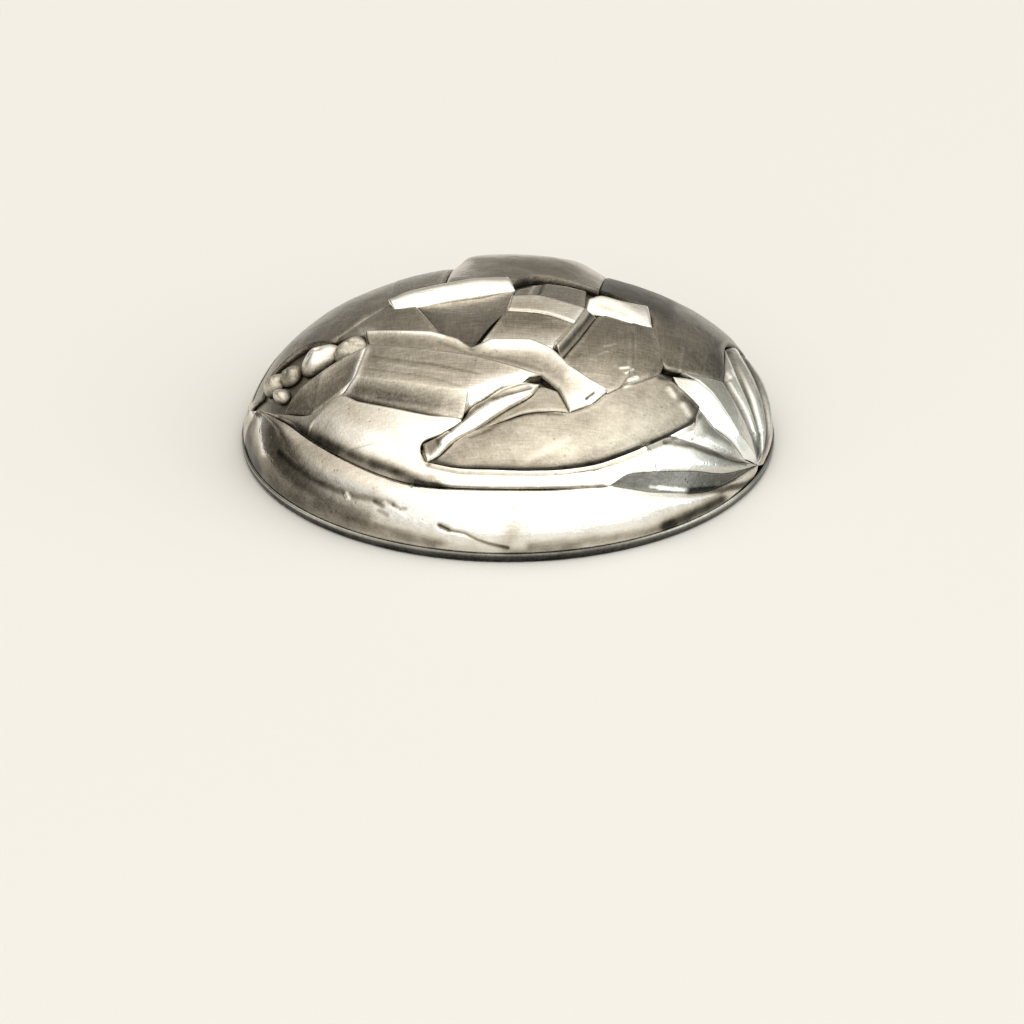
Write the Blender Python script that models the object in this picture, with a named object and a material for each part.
"""Domed ball marker: a hollow dome on a thin back plate, its face covered by
straps, plates, bars and beads, with a magnet in a steel cup inside.
Metres, +Z up, origin at the centre of the underside. The front is -Y and the
left is -X. The tables and builders work in mm; finish() scales to metres."""

import math

import bmesh
import bpy
from mathutils import Matrix, Vector

MM = 0.001

# ---------------------------------------------------------------- dimensions, mm
PLATE_R = 12.5          # back plate, the widest piece
PLATE_T = 0.4
HOLE_R = 5.25           # through hole that shows the magnet
EDGE_EASE = 0.1         # chamfer on the plate and the magnet

DOME_R = 12.05          # outer radius of the dome at its foot
DOME_RISE = 5.8
DOME_WALL = 0.8
DOME_Z = 0.43           # foot of the dome, just clear of the plate

MAGNET_R = 4.7
MAGNET_Z = (0.06, 1.8)  # bottom and top
CUP_R = 5.15            # outside of the cup's wall
CUP_WALL = 0.35
CUP_TOP = 2.2
CUP_EASE = 0.2          # chamfer round the cup's top
FLANGE_R = 6.4
FLANGE_Z = (0.58, 0.92)
BOND_R = (CUP_R + 0.15, FLANGE_R - 0.05)
BOND_Z = (0.43, 0.55)

SEAT = 0.05             # clearance between the dome and a piece on it
MIN_THICK = 0.05        # least thickness of a relief piece
INSET = 0.035           # half of the gap between two neighbouring pieces
CELL = 1.75             # longest side of a facet on the face

# ---------------------------------------------------------------- segment counts
DOME_AROUND = 44
DOME_STEPS_OUT = 10     # foot to crown, outer skin
DOME_STEPS_IN = 6       # foot to crown, inner skin
PLATE_AROUND = 60
MAGNET_AROUND = 32      # magnet, cup and bond ring
BEAD_AROUND = 12
BEAD_RINGS = 4

# ---------------------------------------------------------------- finishes
SILVER = (0.60, 0.57, 0.51)
STEEL = (0.50, 0.50, 0.50)
MAGNET_GREY = (0.62, 0.62, 0.60)
BOND_CREAM = (0.75, 0.72, 0.62)
SHARP_ANGLE = math.radians(35)  # edges that turn more than this stay sharp

# ---------------------------------------------------------------- places on the dome
# A place is a point of the dome's chart, a disc whose centre is the crown and whose
# rim, at radius 1, is the dome's foot. The tables give places in two ways.
# A run's key names its first place, and the later ones count on from it.

# The sheet leans back from the vertical by TILT, through the centre of the underside.
TILT = math.radians(27.3)

# Runs on the sheet: (x to the right, y up the sheet, height over the dome), mm
SHEET_RUNS = {
    # crease above the front band, and the band's fold line
    "crease1": [
        (-10.385, 0.705, 0.3), (-9.305, -0.047, 0.3), (-7.895, -0.846, 0.3),
        (-6.391, -1.551, 0.3), (-4.840, -2.068, 0.3), (-3.195, -2.303, 0.3),
        (-0.846, -2.397, 0.3), (1.974, -2.397, 0.3), (4.605, -2.256, 0.3),
        (6.908, -2.538, 0.3), (9.398, -2.444, 0.3)],
    "fold1": [
        (-11.043, 0.376, 0.5), (-10.573, -0.705, 0.5), (-9.774, -1.739, 0.5),
        (-7.895, -2.491, 0.5), (-5.545, -3.195, 0.5), (-3.195, -3.665, 0.5),
        (-0.752, -3.947, 0.5), (2.115, -3.994, 0.5), (4.887, -3.806, 0.5),
        (7.378, -3.430, 0.5), (9.680, -2.820, 0.5)],
    # upper edge of the lower strap
    "strap0": [
        (-10.573, 1.128, 0.35), (-9.211, 1.081, 0.35), (-7.848, 1.927, 0.35),
        (-6.908, 1.645, 0.35), (-5.263, 1.316, 0.35), (-3.665, 0.987, 0.35),
        (-2.115, 0.752, 0.35), (-3.994, -0.329, 0.35), (-3.759, -1.175, 0.35)],
    # crescent: lower and upper edges
    "cres_low0": [
        (-2.256, -1.457, 0.35), (-0.846, -1.504, 0.35), (0.799, -1.551, 0.35),
        (2.444, -1.504, 0.35), (4.041, -1.269, 0.35), (5.310, -0.846, 0.35),
        (6.391, -0.423, 0.35), (7.519, 0.047, 0.35), (8.553, 0.611, 0.35),
        (8.929, 1.316, 0.35), (8.130, 2.021, 0.35)],
    "cres_top0": [
        (-3.289, -0.940, 0.4), (-2.444, -0.188, 0.4), (-1.410, 0.376, 0.4),
        (-0.376, 0.658, 0.4), (0.799, 1.034, 0.4), (1.974, 1.128, 0.4),
        (2.867, 1.081, 0.4), (3.900, 1.457, 0.4), (4.605, 1.974, 0.4),
        (5.921, 2.444, 0.4), (7.143, 2.867, 0.4)],
    # rolled lip: lower edge above the gusset, and upper edge
    "lip_low0": [(-0.047, 1.269, 0.4), (1.034, 1.880, 0.4), (1.504, 2.397, 0.4)],
    "lip_top1": [
        (-3.055, 0.141, 0.4), (-1.739, 1.363, 0.4), (-1.034, 1.786, 0.4),
        (-0.282, 2.256, 0.4), (0.611, 2.491, 0.4)],
    # cross bar: back edge and front arris
    "bar_back0": [
        (-6.673, 4.276, 0.6), (-5.310, 4.182, 0.6), (-3.900, 4.041, 0.6),
        (-2.491, 3.853, 0.6), (-1.316, 3.665, 0.6), (-0.141, 3.383, 0.6),
        (0.799, 3.148, 0.6), (1.551, 2.914, 0.5), (2.350, 2.162, 0.4)],
    "bar_front0": [
        (-7.284, 2.632, 0.75), (-5.780, 2.444, 0.75), (-3.900, 2.162, 0.75),
        (-2.632, 1.974, 0.75), (-1.880, 1.974, 0.7), (-1.034, 2.303, 0.65),
        (0, 2.726, 0.6), (1.034, 2.796, 0.45)],
    # upper strap: upper edge and the line under its arris
    "upper0": [
        (-6.908, 5.028, 0.74), (-5.122, 5.028, 0.82), (-3.665, 4.981, 0.82),
        (-2.397, 4.652, 0.76), (-1.739, 4.276, 0.5), (-0.846, 4.652, 0.76),
        (1.081, 4.652, 0.78), (2.068, 4.229, 0.8), (2.961, 3.289, 0.84),
        (3.947, 2.585, 0.84)],
    "arris0": [
        (-6.814, 4.699, 0.6), (-5.169, 4.652, 0.6), (-3.712, 4.605, 0.6),
        (-2.444, 4.276, 0.6), (-1.598, 3.994, 0.6), (-0.658, 4.135, 0.6),
        (0.940, 4.041, 0.6), (1.833, 3.665, 0.6), (2.632, 2.820, 0.6),
        (3.477, 2.021, 0.6)],
    # upper edge of the left panel, and lower edge of the upper left panel
    "left_panel0": [
        (-10.291, 1.739, 0.4), (-9.727, 2.350, 0.4), (-8.647, 3.055, 0.4),
        (-7.660, 3.712, 0.45)],
    "left_edge0": [
        (-11.701, 1.880, 0.35), (-11.325, 2.961, 0.35), (-10.573, 3.759, 0.4),
        (-9.539, 4.417, 0.4), (-8.177, 4.699, 0.45)],
    # triangle, and the line along its right side
    "triangle0": [
        (-4.370, 6.297, 0.4), (-2.961, 6.626, 0.4), (-1.316, 6.908, 0.4),
        (-2.867, 5.686, 0.4), (-1.316, 5.639, 0.4), (-3.148, 4.887, 0.5)],
    "tri_right1": [
        (0.376, 7.143, 0.4), (0.188, 6.626, 0.4), (-0.094, 6.062, 0.4),
        (-0.846, 5.357, 0.4), (-1.269, 4.652, 0.4)],
    # top bar: back edge, and the left end of its front edge
    "top_bar0": [(-5.780, 6.579, 0.7), (-4.793, 7.002, 0.78), (-3.195, 7.378, 0.8)],
    "top_bar4": [(0.047, 7.777, 0.7)],
    "top_foot0": [(-5.404, 6.109, 0.4)],
    # cross band, and the outer edges of the crown panels before and behind it
    "band_back1": [(1.316, 6.626, 0.4), (2.303, 6.391, 0.4), (3.665, 5.968, 0.4)],
    "band_front1": [(1.739, 5.874, 0.4), (3.195, 5.357, 0.4)],
    "crown_front1": [(2.162, 4.323, 0.4)],
    "crown_back1": [(1.786, 7.472, 0.4), (2.820, 7.331, 0.4), (3.759, 7.049, 0.4)],
    # front foot of the crown strap
    "arch_foot1": [(1.316, 7.707, 0.35), (2.679, 7.519, 0.35), (4.370, 7.049, 0.35)],
    # strut, bracket, square panel, right facet
    "strut1": [(4.229, 5.780, 0.4), (3.383, 4.699, 0.4), (2.538, 3.712, 0.4)],
    "bracket_top0": [
        (3.853, 6.579, 0.65), (4.511, 6.767, 0.8), (5.545, 6.485, 0.8), (6.767, 6.227, 0.7)],
    "bracket_low1": [(4.605, 5.874, 0.4), (5.921, 5.404, 0.4), (6.908, 5.216, 0.4)],
    "square1": [
        (5.968, 4.464, 0.4), (5.968, 3.571, 0.4), (5.639, 2.820, 0.4), (5.216, 2.209, 0.4)],
    "facet1": [(7.190, 4.229, 0.4), (7.331, 3.383, 0.4)],
    # lower edge of the right panel
    "right_low1": [(8.177, 3.055, 0.4), (9.211, 2.820, 0.4), (10.197, 2.538, 0.4)],
    # right fan: fold lines to the right gather, from the lowest up
    "leaf1": [
        (5.545, -1.739, 0.25), (6.767, -1.598, 0.25), (8.271, -1.551, 0.25),
        (10.056, -1.645, 0.25)],
    "pleat_low1": [(8.553, -0.282, 0.4), (9.492, -0.611, 0.4), (10.526, -1.081, 0.35)],
    "pleat_mid1": [(9.680, 0.423, 0.4), (10.432, -0.141, 0.4), (11.043, -0.987, 0.35)],
    "pleat_top0": [
        (7.754, 2.773, 0.4), (8.741, 2.538, 0.4), (9.445, 1.974, 0.5),
        (10.056, 1.081, 0.5), (10.667, 0.141, 0.45)],
    "fan1": [(10.573, 1.880, 0.4), (11.043, 1.034, 0.4), (11.372, 0.141, 0.4)],
    "flute_a0": [
        (10.338, 4.276, 0.4), (10.902, 2.820, 0.3), (11.372, 1.457, 0.3),
        (11.701, 0.282, 0.3)],
    "flute_b0": [(10.9492, 4.1353, 0.4), (11.607, 2.726, 0.3), (11.983, 1.410, 0.3)],
}

# Runs by ring: (azimuth in degrees, share of the way from the crown to the foot)
RING_RUNS = {
    # foot of the front band
    "foot0": [
        (187, 1), (197, 1), (207, 1), (217, 1), (228, 1), (240, 1), (253, 1),
        (266, 1), (280, 1), (294, 1), (308, 1), (322, 1), (337, 1)],
    # the dome's left and right shoulders
    "left_dome0": [
        (178, 0.93), (168, 0.86), (156, 0.80), (144, 0.74), (132, 0.68), (120, 0.62),
        (105.3, 0.56)],
    "right_dome0": [
        (62, 0.60), (53, 0.64), (44, 0.69), (35, 0.75), (27, 0.80), (20, 0.83)],
    # crown strap: front arris, rear arris, rear foot
    "arch_front1": [(101, 0.485), (89, 0.46), (70, 0.49)],
    "arch_rear1": [(100, 0.60), (89, 0.59), (71, 0.60)],
    "arch_heel1": [(96, 0.78), (90, 0.78), (81, 0.78)],
    # inside the right panel
    "right_mid1": [(16.5, 0.65), (5, 0.57)],
    # right ends of the fan's fold lines, and its last fold line
    "pleat_top5": [(-21, 0.9)],
    "fan4": [(-18.4, 0.905)],
    "flute_a4": [(-16, 0.925)],
    "flute_b3": [(-8.5, 0.905), (-14, 0.945)],
    "flute_c0": [(15, 0.86), (8, 0.89), (0, 0.915), (-7, 0.945), (-13, 0.965)],
    # back band: crease and foot
    "back_crease0": [
        (176, 0.95), (160, 0.88), (142, 0.835), (122, 0.80), (100.8, 0.785),
        (90, 0.785), (72, 0.785), (54, 0.81), (37, 0.85), (22, 0.90)],
    "back_foot0": [
        (187, 1), (176, 1), (160, 1), (142, 1), (122, 1), (102, 1), (90, 1), (72, 1),
        (54, 1), (37, 1), (22, 1), (12, 1), (6, 1), (-1, 1), (-8, 1), (-16, 1)],
}

# The gathers, where the pleats and bands meet at either side
LEFT_GATHER = (-11.701, 1.269, 0.35)    # on the sheet
RIGHT_GATHER = (-19, 0.975)             # by ring

# Places on the line between two others: start, end, share of the way
BETWEEN = {
    "top_bar3": ("top_bar2", "top_bar4", 0.5),
    "arch_rear0": ("left_dome6", "back_crease4", 0.35),
    "arch_rear4": ("right_dome0", "back_crease6", 0.3),
}

# ---------------------------------------------------------------- relief pieces
# name: (rows of places, rows of heights over the dome in mm, flatness)
# "fold1-4" stands for fold1 to fold4, and "fold1*3" for fold1 three times. A fraction
# is that share of the way from the named place above it to the one below it, and
# "mid" is halfway between its neighbours in the row.
# Flatness 1 keeps straight chords between places, 0 follows the dome.
PIECES = {
    "front_band": (
        ["left crease1-11 right", "1/2*13", "left fold1-11 right", "1/2*13", "foot0-12"],
        [[.30, .22, .20, .20, .20, .20, .20, .22, .22, .22, .20, .20, .25],
         [.35, .38, .42, .48, .52, .55, .55, .55, .55, .55, .50, .40, .28],
         [.35, .36, .38, .42, .46, .52, .56, .58, .58, .58, .52, .42, .28],
         [.40, .44, .45, .47, .49, .51, .53, .54, .54, .52, .48, .42, .34],
         [.34, .36, .36, .36, .36, .36, .36, .36, .36, .36, .36, .36, .34]], 0),
    "lower_strap": (
        ["left strap0-6 lip_top1 strap7-8 strap8 cres_low0-6",
         "1/2*19",
         "left crease1 crease2*2 crease3*6 crease4-6 crease7*2 crease8-9 leaf1-2"],
        [[.30, .30, .34, .40, .42, .42, .42, .42, .40, .36,
          .30, .30, .30, .30, .30, .30, .30, .32, .34],
         [.32, .36, .42, .48, .48, .48, .48, .48, .46, .46,
          .44, .42, .42, .42, .42, .42, .40, .38, .36],
         [.32, .30, .32, .32, .34, .34, .34, .34, .34, .34,
          .34, .34, .34, .34, .34, .34, .30, .28, .26]], 0),
    "crescent_panel": (
        ["strap8 cres_top0-10", "1/2*12", "strap8 cres_low0-3 cres_low3-9"],
        [[.22, .26, .30, .34, .38, .42, .46, .50, .52, .54, .56, .56],
         [.26, .36, .42, .48, .52, .54, .56, .58, .60, .62, .62, .60],
         [.20, .34, .38, .42, .44, .46, .48, .50, .52, .54, .54, .52]], 0),
    "gusset": (
        ["cres_top2 lip_low0-2 bar_back8", "cres_top2-6"],
        [[.26, .28, .30, .32, .34], [.26, .38, .44, .46, .44]], 0),
    "rolled_lip": (
        ["strap7 lip_top1 strap6 lip_top2-5 lip_low2",
         "1/2*8",
         "strap8 cres_top0-2 lip_low0 lip_low0-2"],
        [[.30, .34, .36, .36, .38, .42, .46, .46],
         [.46, .62, .70, .72, .74, .72, .66, .46],
         [.28, .40, .46, .50, .52, .52, .52, .46]], 0),
    "cross_bar": (
        ["bar_back0-4 bar_back4-7", "bar_front0-4 bar_front4-7", "strap2-6 lip_top2-5"],
        [[.76, .78, .80, .80, .76, .76, .72, .64, .50],
         [.90, .94, .96, .96, .90, .88, .80, .68, .48],
         [.34, .34, .34, .34, .34, .34, .36, .38, .40]], .6),
    "upper_strap": (
        ["upper0-9 cres_top8", "arris0-9 cres_top8", "bar_back0-8 cres_top6-7"],
        [[.76, .86, .86, .78, .46, .76, .78, .80, .88, .90, .78],
         [.60, .62, .62, .60, .50, .52, .54, .60, .68, .72, .62],
         [.34, .36, .38, .40, .38, .38, .38, .38, .38, .40, .40]], .3),
    "left_panel": (
        ["left_panel0-3 bar_back0", "strap0-1 strap1-2 bar_front0"],
        [[.30, .44, .56, .62, .64], [.24, .24, .26, .40, .60]], .9),
    "upper_left_panel": (
        ["left_dome0-4 left_dome5*2 left_dome6*2",
         "1/2*9",
         "left_edge0-4 top_bar0 top_bar0-2"],
        [[.14, .14, .18, .26, .34, .38, .40, .42, .42],
         [.16, .18, .26, .34, .40, .44, .46, .44, .42],
         [.18, .20, .26, .32, .38, .40, .40, .38, .36]], 0),
    "shoulder_plate": (
        ["top_bar0*2 top_foot0 triangle0*2", "left_edge4 upper0-2 triangle5"],
        [[.46, .46, .44, .40, .40], [.38, .50, .46, .44, .46]], .3),
    "triangle_panel": (
        ["triangle0-2 tri_right1",
         "triangle0 triangle3-4 tri_right3",
         "triangle0 triangle5 upper4 tri_right4"],
        [[.30, .22, .18, .30], [.30, .26, .22, .30], [.30, .34, .30, .34]], .9),
    "top_bar": (
        ["top_bar0-4", "1/2*5", "top_foot0 triangle0-2 tri_right1"],
        [[.70, .80, .82, .80, .68], [.64, .76, .80, .76, .64], [.34, .36, .38, .36, .34]], .2),
    "crown_panel_lower": (
        ["tri_right3*2 band_front1-2", "tri_right5 upper5-6 crown_front1"],
        [[.40, .42, .42, .44], [.26, .24, .24, .28]], .8),
    "cross_band": (
        ["tri_right2 band_back1-3", "tri_right3 band_front1 band_front1-2"],
        [[.62, .64, .64, .66], [.44, .44, .44, .46]], .6),
    "crown_panel_upper": (
        ["tri_right1 crown_back1-3", "tri_right2 band_back1-3"],
        [[.34, .34, .36, .38], [.36, .36, .38, .40]], .8),
    "crown_strap": (
        ["top_bar2 top_bar4 arch_foot1-3",
         "left_dome6 arch_front1-3 right_dome0",
         "arch_rear0-4",
         "back_crease4 arch_heel1-3 back_crease6"],
        [[.44, .44, .44, .42, .38], [.48, .90, .95, .88, .46], [.50, .86, .90, .84, .46],
         [.44, .46, .48, .46, .40]], .2),
    "strut": (
        ["band_back3 band_front2 crown_front1", "strut1-3"],
        [[.60, .62, .60], [.30, .28, .28]], .3),
    "bracket": (
        ["bracket_top0-3", "1/2*4", "band_back3 bracket_low1-3"],
        [[.72, .84, .84, .74], [.58, .66, .66, .58], [.34, .34, .34, .34]], .3),
    "square_panel": (
        ["strut1 bracket_low1-2", "strut2 mid square1", "strut3 mid square2",
         "upper8 mid square3", "cres_top8*2 square4"],
        [[.36, .38, .42], [.34, .38, .44], [.34, .40, .46], [.36, .42, .46], [.38, .40, .44]], .9),
    "right_facet": (
        ["bracket_low2-3", "square1 facet1", "square2 facet2", "square3 cres_top10",
         "square4 cres_top9"],
        [[.44, .42], [.46, .40], [.48, .42], [.46, .46], [.44, .46]], .7),
    "right_panel": (
        ["right_dome0-5", "1/3*4 right_mid1 flute_b0", "2/3*4 right_mid2 flute_a0",
         "arch_foot3 bracket_top3 bracket_low3 facet2 right_low2-3"],
        [[.42, .44, .48, .52, .52, .48], [.42, .46, .50, .54, .54, .46],
         [.40, .44, .48, .50, .50, .42], [.36, .38, .38, .36, .38, .36]], 0),
    "leaf_panel": (
        ["crease9 leaf1-4 right", "1/2*6", "crease9*2 crease10*2 crease11 right"],
        [[.20, .20, .20, .20, .20, .18], [.14, .14, .12, .12, .12, .14],
         [.18, .18, .16, .16, .16, .18]], 0),
    "pleat_lower": (
        ["cres_low6-7 pleat_low1-3 right", "1/2*6", "leaf2*2 leaf3*2 leaf4 right"],
        [[.34, .34, .34, .32, .30, .22], [.48, .50, .52, .48, .40, .22],
         [.28, .28, .28, .28, .28, .22]], 0),
    "pleat_middle": (
        ["cres_low8 cres_low8-9 pleat_mid1-3 right",
         "1/2*7",
         "cres_low7 pleat_low1*3 pleat_low2-3 right"],
        [[.36, .36, .34, .34, .32, .30, .22], [.44, .50, .54, .52, .46, .38, .22],
         [.36, .34, .34, .34, .32, .30, .22]], .2),
    "pleat_upper": (
        ["pleat_top0-5 right", "cres_low10 cres_low9*2 pleat_mid1-3 right"],
        [[.44, .62, .70, .68, .58, .44, .22], [.40, .38, .34, .34, .32, .30, .22]], .2),
    "fan_plate": (
        ["right_low1-3 fan1-4 right", "pleat_top1*3 pleat_top2-5 right"],
        [[.40, .42, .42, .40, .38, .36, .32, .22], [.62, .62, .62, .66, .64, .54, .42, .22]], .2),
    "flute_1": (
        ["flute_a0-4 right", "1/2*6", "flute_a0 right_low3 fan1-2 fan4 right"],
        [[.30, .28, .26, .24, .22, .20], [.30, .50, .56, .50, .38, .22],
         [.30, .30, .30, .28, .26, .20]], 0),
    "flute_2": (
        ["flute_b0-4 right", "1/2*6", "flute_a0-4 right"],
        [[.30, .28, .26, .24, .22, .20], [.50, .60, .60, .50, .38, .22],
         [.30, .28, .26, .24, .22, .20]], 0),
    "flute_3": (
        ["right_dome5 flute_c0-4 right", "1/2*7", "flute_b0 flute_b0-4 right"],
        [[.34, .34, .30, .28, .26, .24, .20], [.44, .52, .60, .60, .50, .38, .22],
         [.30, .30, .28, .26, .24, .22, .20]], 0),
    "rear_left_panel": (
        ["back_crease0-1 back_crease1-3 back_crease3-4", "left_dome0-6"],
        [[.22, .24, .26, .34, .40, .40, .42], [.18, .20, .26, .36, .44, .46, .46]], 0),
    "rear_right_panel": (
        ["back_crease6 back_crease7*2 back_crease8*2 back_crease9*2",
         "right_dome0-5 flute_c0"],
        [[.42, .42, .42, .40, .40, .38, .38], [.46, .48, .50, .52, .50, .46, .40]], 0),
    "back_band": (
        ["left back_crease0-9 flute_c0-3 right", "1/2*16", "back_foot0-15"],
        [[.30, .20, .20, .24, .28, .28, .28, .28, .28, .26, .24, .24, .24, .24, .24, .22],
         [.40, .36, .40, .46, .52, .54, .54, .54, .52, .50, .46, .44, .42, .40, .36, .30],
         [.38, .36, .36, .36, .38, .38, .38, .38, .38, .38, .38, .38, .38, .38, .36, .34]], 0),
}

# Beads beside the left gather: x and y of the centre on the sheet, half length and
# half width in mm, turn in degrees anticlockwise on the sheet, height in mm
BEADS = {
    "bead_1": (-7.425, 4.253, 0.705, 0.282, 22, 0.80),
    "bead_2": (-8.976, 3.736, 0.705, 0.399, 38, 0.95),
    "bead_3": (-10.244, 2.961, 0.376, 0.282, 40, 0.75),
    "bead_4": (-11.043, 2.538, 0.376, 0.305, 70, 0.80),
    "bead_5": (-10.667, 1.997, 0.282, 0.235, 50, 0.60),
}
BEAD_AIM = 0.141        # step along the sheet that gives a bead's direction, mm


# ---------------------------------------------------------------- chart of the dome
def on_dome(place):
    """Point and outward normal of the dome at a chart place."""
    fall = math.hypot(*place) * math.pi / 2
    azimuth = math.atan2(place[1], place[0])
    reach = DOME_R * math.sin(fall)
    point = Vector((reach * math.cos(azimuth), reach * math.sin(azimuth),
                    DOME_Z + DOME_RISE * math.cos(fall)))
    normal = Vector((point.x / DOME_R**2, point.y / DOME_R**2,
                     (point.z - DOME_Z) / DOME_RISE**2)).normalized()
    return point, normal


def chart_of(x, y, z, radius=DOME_R, rise=DOME_RISE):
    """Chart place of a point on an ellipsoid about the dome's centre."""
    x, y, z = x / radius, y / radius, max(z / rise, 0.0)
    size = math.sqrt(x * x + y * y + z * z)
    share = math.acos(min(1.0, z / size)) / (math.pi / 2)
    flat = math.hypot(x, y) or 1.0
    return (share * x / flat, share * y / flat)


def chart_of_foot(point):
    """Chart place of a point near the dome, given in the object's frame."""
    return chart_of(point.x, point.y, point.z - DOME_Z)


def on_sheet(x, y, height):
    """Chart place met by going square to the sheet, from the front, down to the
    surface at a height over the dome."""
    radius, rise = DOME_R + height, DOME_RISE + height
    sine, cosine = math.sin(TILT), math.cos(TILT)
    up = y - DOME_Z * cosine
    # quadratic for the distance in front of the sheet
    square = cosine**2 / radius**2 + sine**2 / rise**2
    linear = 2 * up * sine * cosine * (1 / rise**2 - 1 / radius**2)
    constant = (x * x + up * up * sine**2) / radius**2 + up * up * cosine**2 / rise**2 - 1
    root = math.sqrt(max(linear**2 - 4 * square * constant, 0.0))
    ahead = (-linear + root) / (2 * square)
    return chart_of(x, up * sine - ahead * cosine, up * cosine + ahead * sine, radius, rise)


def on_ring(degrees, share):
    """Chart place by azimuth and share of the way from the crown to the foot."""
    return (share * math.cos(math.radians(degrees)), share * math.sin(math.radians(degrees)))


def between(start, end, share):
    """Chart place a share of the way from one to another."""
    return tuple(a + share * (b - a) for a, b in zip(start, end))


def counted(first_name, last):
    """Names from a numbered one, such as fold1, up to the number last."""
    stem = first_name.rstrip("0123456789")
    return [f"{stem}{i}" for i in range(int(first_name[len(stem):]), last + 1)]


def named_places():
    """All named chart places."""
    places = {"left": on_sheet(*LEFT_GATHER), "right": on_ring(*RIGHT_GATHER)}
    for runs, locate in ((SHEET_RUNS, on_sheet), (RING_RUNS, on_ring)):
        for first_name, run in runs.items():
            last = counted(first_name, 99).index(first_name) + len(run) - 1
            for name, entry in zip(counted(first_name, 99)[:last + 1], run):
                places[name] = locate(*entry)
    for name, (start, end, share) in BETWEEN.items():
        places[name] = between(places[start], places[end], share)
    return places


# ---------------------------------------------------------------- surface of a piece
def row_names(row):
    """The names in a row, with its ranges and repeats written out."""
    names = []
    for word in row.split():
        name, _, times = word.partition("*")
        first_name, _, last = name.partition("-")
        names += counted(first_name, int(last)) if last else [name] * int(times or 1)
    return names


def chart_grid(rows, places):
    """Chart places of a piece's control grid."""
    names = [row_names(row) for row in rows]
    grid = [[places.get(name) for name in line] for line in names]
    for i, line in enumerate(names):
        for j, name in enumerate(line):
            if name == "mid":
                grid[i][j] = between(grid[i][j - 1], grid[i][j + 1], 0.5)
    for i, line in enumerate(names):
        for j, name in enumerate(line):
            if "/" in name:
                part, whole = name.split("/")
                above = next(grid[k][j] for k in range(i - 1, -1, -1) if "/" not in names[k][j])
                below = next(grid[k][j] for k in range(i + 1, len(grid))
                             if "/" not in names[k][j])
                grid[i][j] = between(above, below, int(part) / int(whole))
    return grid


def cell_count(lines):
    """Cells per step of the control lines that keep every cell within CELL."""
    feet = [[on_dome(place)[0] for place in line] for line in lines]
    longest = max((b - a).length for line in feet for a, b in zip(line, line[1:]))
    return math.ceil(longest / CELL)


def surface(grid, heights, flat):
    """Rows of (chart place, height) over the control grid."""
    down, across = cell_count(zip(*grid)), cell_count(grid)
    made = []
    for i in range((len(grid) - 1) * down + 1):
        row = min(i // down, len(grid) - 2)
        u = i / down - row
        line = []
        for j in range((len(grid[0]) - 1) * across + 1):
            column = min(j // across, len(grid[0]) - 2)
            v = j / across - column
            corners = [(row, column, (1 - u) * (1 - v)), (row, column + 1, (1 - u) * v),
                       (row + 1, column, u * (1 - v)), (row + 1, column + 1, u * v)]
            place = tuple(sum(w * grid[r][c][k] for r, c, w in corners) for k in (0, 1))
            height = sum(w * heights[r][c] for r, c, w in corners)
            base, normal = on_dome(place)
            chord = Vector((0, 0, 0))
            for r, c, w in corners:
                foot, up = on_dome(grid[r][c])
                chord += w * (foot + heights[r][c] * up)
            line.append((place, (1 - flat) * height + flat * (chord - base).dot(normal)))
        made.append(line)
    return made


def triangles(made):
    """Merges places that coincide and splits the cells into triangles."""
    index, places, heights = {}, [], []

    def number(i, j):
        place, height = made[i][j]
        key = (round(place[0], 5), round(place[1], 5))
        if key not in index:
            index[key] = len(places)
            places.append(place)
            heights.append(height)
        return index[key]

    cells = []
    for i in range(len(made) - 1):
        for j in range(len(made[0]) - 1):
            a, b = number(i, j), number(i, j + 1)
            c, d = number(i + 1, j + 1), number(i + 1, j)
            for tri in ((a, b, c), (a, c, d)):
                if len(set(tri)) < 3:
                    continue
                (x0, y0), (x1, y1), (x2, y2) = (places[k] for k in tri)
                area = (x1 - x0) * (y2 - y0) - (x2 - x0) * (y1 - y0)
                if abs(area) > 1e-9:
                    cells.append(tri if area > 0 else (tri[0], tri[2], tri[1]))
    return places, heights, cells


def pulled_in(places, cells, inset):
    """The places with the outline moved inwards by an inset in mm along the dome, and
    the outline as a map from each place to the next."""
    edges = {(tri[k], tri[(k + 1) % 3]) for tri in cells for k in range(3)}
    after = {a: b for a, b in edges if (b, a) not in edges}
    before = {b: a for a, b in after.items()}
    moved = list(places)
    for here in after:
        point, normal = on_dome(places[here])
        inward = []
        for a, b in ((before[here], here), (here, after[here])):
            along = on_dome(places[b])[0] - on_dome(places[a])[0]
            along -= along.dot(normal) * normal
            inward.append(normal.cross(along.normalized()))
        mitre = inward[0] + inward[1]
        # where the outline doubles back there is no mitre direction
        mitre = mitre.normalized() if mitre.length > 1e-3 else inward[0]
        # the reach at a sharp corner is limited to four insets
        reach = min(inset / max(mitre.dot(inward[0]), 0.2), 4 * inset)
        moved[here] = chart_of_foot(point + mitre * reach)
    return moved, after


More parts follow.
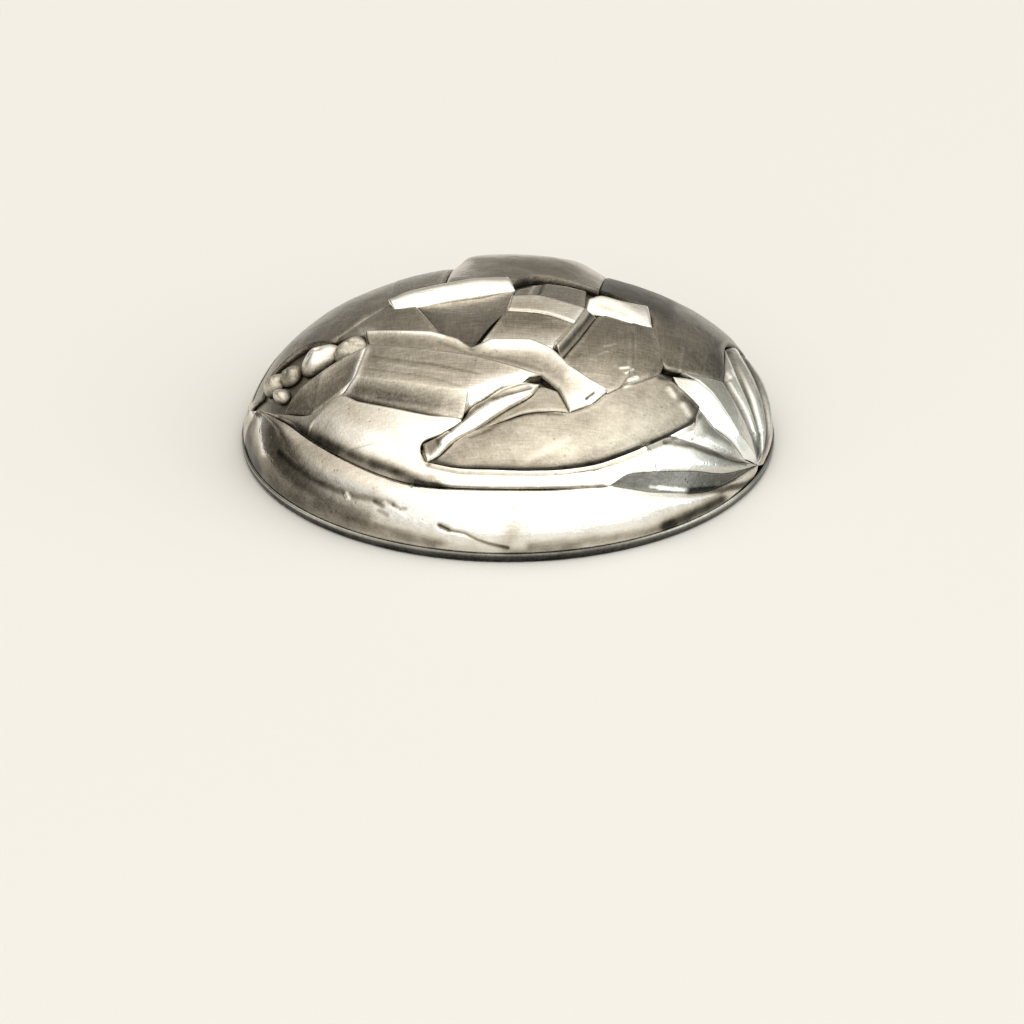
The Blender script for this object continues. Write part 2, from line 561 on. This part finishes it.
# ---------------------------------------------------------------- builders
def finish(name, bm, colour, roughness, metallic=1.0):
    """Turns a bmesh in mm into an object in metres with a material of its own."""
    bmesh.ops.recalc_face_normals(bm, faces=bm.faces)
    mesh = bpy.data.meshes.new(name)
    bm.to_mesh(mesh)
    bm.free()
    mesh.transform(Matrix.Scale(MM, 4))
    mesh.shade_smooth()
    mesh.set_sharp_from_angle(angle=SHARP_ANGLE)
    bpy.context.scene.collection.objects.link(bpy.data.objects.new(name, mesh))
    material = bpy.data.materials.new(name)
    material.use_nodes = True
    shader = material.node_tree.nodes["Principled BSDF"]
    shader.inputs["Base Color"].default_value = (*colour, 1)
    shader.inputs["Roughness"].default_value = roughness
    shader.inputs["Metallic"].default_value = metallic
    mesh.materials.append(material)


def relief(name, grid, heights, flat):
    """A piece of the face: its underside follows the dome, its walls stand on it."""
    places, heights, cells = triangles(surface(grid, heights, flat))
    places, after = pulled_in(places, cells, INSET)
    bm = bmesh.new()
    top, low = [], []
    for place, height in zip(places, heights):
        point, normal = on_dome(place)
        top.append(bm.verts.new(point + max(height, SEAT + MIN_THICK) * normal))
        low.append(bm.verts.new(point + SEAT * normal))
    for a, b, c in cells:
        bm.faces.new((top[a], top[b], top[c]))
        bm.faces.new((low[c], low[b], low[a]))
    for a, b in after.items():
        bm.faces.new((top[b], top[a], low[a], low[b]))
    finish(name, bm, colour=SILVER, roughness=0.28)


def bead(name, x, y, half_long, half_wide, turn, height):
    """A squashed bead whose underside lies just over the dome."""
    turn = math.radians(turn)
    centre, normal = on_dome(on_sheet(x, y, height / 2))
    aim = on_sheet(x + BEAD_AIM * math.cos(turn), y + BEAD_AIM * math.sin(turn), height / 2)
    ahead = on_dome(aim)[0] - centre
    ahead = (ahead - ahead.dot(normal) * normal).normalized()
    side = normal.cross(ahead)
    bm = bmesh.new()
    tip = bm.verts.new(centre + height * normal)
    loops = []
    for i in range(1, BEAD_RINGS + 1):
        up = math.pi / 2 * (1 - i / BEAD_RINGS)
        loop = []
        for j in range(BEAD_AROUND):
            angle = 2 * math.pi * j / BEAD_AROUND
            spot = (centre + ahead * half_long * math.cos(up) * math.cos(angle)
                    + side * half_wide * math.cos(up) * math.sin(angle))
            foot, outward = on_dome(chart_of_foot(spot))
            rise = SEAT + (height - SEAT) * math.sin(up)
            loop.append(bm.verts.new(foot + rise * outward))
        loops.append(loop)
    middle = bm.verts.new(centre + SEAT * normal)
    for j in range(BEAD_AROUND):
        k = (j + 1) % BEAD_AROUND
        bm.faces.new((tip, loops[0][j], loops[0][k]))
        for inner, outer in zip(loops, loops[1:]):
            bm.faces.new((inner[j], outer[j], outer[k], inner[k]))
        bm.faces.new((loops[-1][j], middle, loops[-1][k]))
    finish(name, bm, colour=SILVER, roughness=0.25)


def turned(name, profile, around, **look):
    """A solid of revolution about Z from a (radius, z) profile in mm. The profile
    closes on itself, or starts and ends at radius 0 with one vertex on the axis."""
    bm = bmesh.new()
    loops = []
    for radius, z in profile:
        if radius == 0:
            loops.append([bm.verts.new((0, 0, z))] * around)
        else:
            angles = [2 * math.pi * j / around for j in range(around)]
            loops.append([bm.verts.new((radius * math.cos(angle), radius * math.sin(angle), z))
                          for angle in angles])
    pairs = list(zip(loops, loops[1:]))
    if profile[0][0] != 0:
        pairs.append((loops[-1], loops[0]))
    for first, second in pairs:
        for j in range(around):
            k = (j + 1) % around
            # a vertex on the axis counts once, so its faces are triangles
            bm.faces.new(list(dict.fromkeys((first[j], first[k], second[k], second[j]))))
    finish(name, bm, **look)


# ---------------------------------------------------------------- turned pieces
def dome_skin(radius, rise, steps):
    """Profile of a dome skin from its foot up, without the crown."""
    angles = [math.pi / 2 * i / steps for i in range(steps)]
    return [(radius * math.cos(angle), DOME_Z + rise * math.sin(angle)) for angle in angles]


def dome_shell():
    """Hollow dome: down the outer skin, then up the inner one."""
    inner_rise = DOME_RISE - DOME_WALL
    outer = dome_skin(DOME_R, DOME_RISE, DOME_STEPS_OUT)
    inner = dome_skin(DOME_R - DOME_WALL, inner_rise, DOME_STEPS_IN)
    profile = [(0, DOME_Z + DOME_RISE), *outer[::-1], *inner, (0, DOME_Z + inner_rise)]
    turned("dome_shell", profile, DOME_AROUND, colour=SILVER, roughness=0.3)


def back_plate():
    """Thin plate with eased edges and the magnet's hole."""
    profile = [
        (HOLE_R, EDGE_EASE), (HOLE_R + EDGE_EASE, 0), (PLATE_R - EDGE_EASE, 0),
        (PLATE_R, EDGE_EASE), (PLATE_R, PLATE_T - EDGE_EASE),
        (PLATE_R - EDGE_EASE, PLATE_T), (HOLE_R, PLATE_T)]
    turned("back_plate", profile, PLATE_AROUND, colour=SILVER, roughness=0.35)


def magnet():
    """Disc magnet with eased edges."""
    bottom, top = MAGNET_Z
    profile = [
        (0, bottom), (MAGNET_R - EDGE_EASE, bottom), (MAGNET_R, bottom + EDGE_EASE),
        (MAGNET_R, top - EDGE_EASE), (MAGNET_R - EDGE_EASE, top), (0, top)]
    turned("magnet", profile, MAGNET_AROUND, colour=MAGNET_GREY, roughness=0.25)


def magnet_cup():
    """Steel cup over the magnet, open below, with a flange round its wall."""
    bottom = MAGNET_Z[0]
    flange_low, flange_top = FLANGE_Z
    inner_r, inner_top = CUP_R - CUP_WALL, CUP_TOP - CUP_WALL
    profile = [
        (0, CUP_TOP), (CUP_R - CUP_EASE, CUP_TOP), (CUP_R, CUP_TOP - CUP_EASE),
        (CUP_R, flange_top), (FLANGE_R, flange_top), (FLANGE_R, flange_low),
        (CUP_R, flange_low), (CUP_R, bottom), (inner_r, bottom), (inner_r, inner_top),
        (0, inner_top)]
    turned("magnet_cup", profile, MAGNET_AROUND, colour=STEEL, roughness=0.4)


def bond_ring():
    """Bond under the cup's flange."""
    (inner, outer), (low, top) = BOND_R, BOND_Z
    profile = [(inner, low), (outer, low), (outer, top), (inner, top)]
    turned("bond_ring", profile, MAGNET_AROUND, colour=BOND_CREAM, roughness=0.5, metallic=0.0)


def main():
    for obj in list(bpy.data.objects):
        bpy.data.objects.remove(obj, do_unlink=True)

    dome_shell()
    back_plate()
    magnet()
    magnet_cup()
    bond_ring()

    places = named_places()
    for name, (rows, heights, flat) in PIECES.items():
        relief(name, chart_grid(rows, places), heights, flat)
    for name, spec in BEADS.items():
        bead(name, *spec)


main()
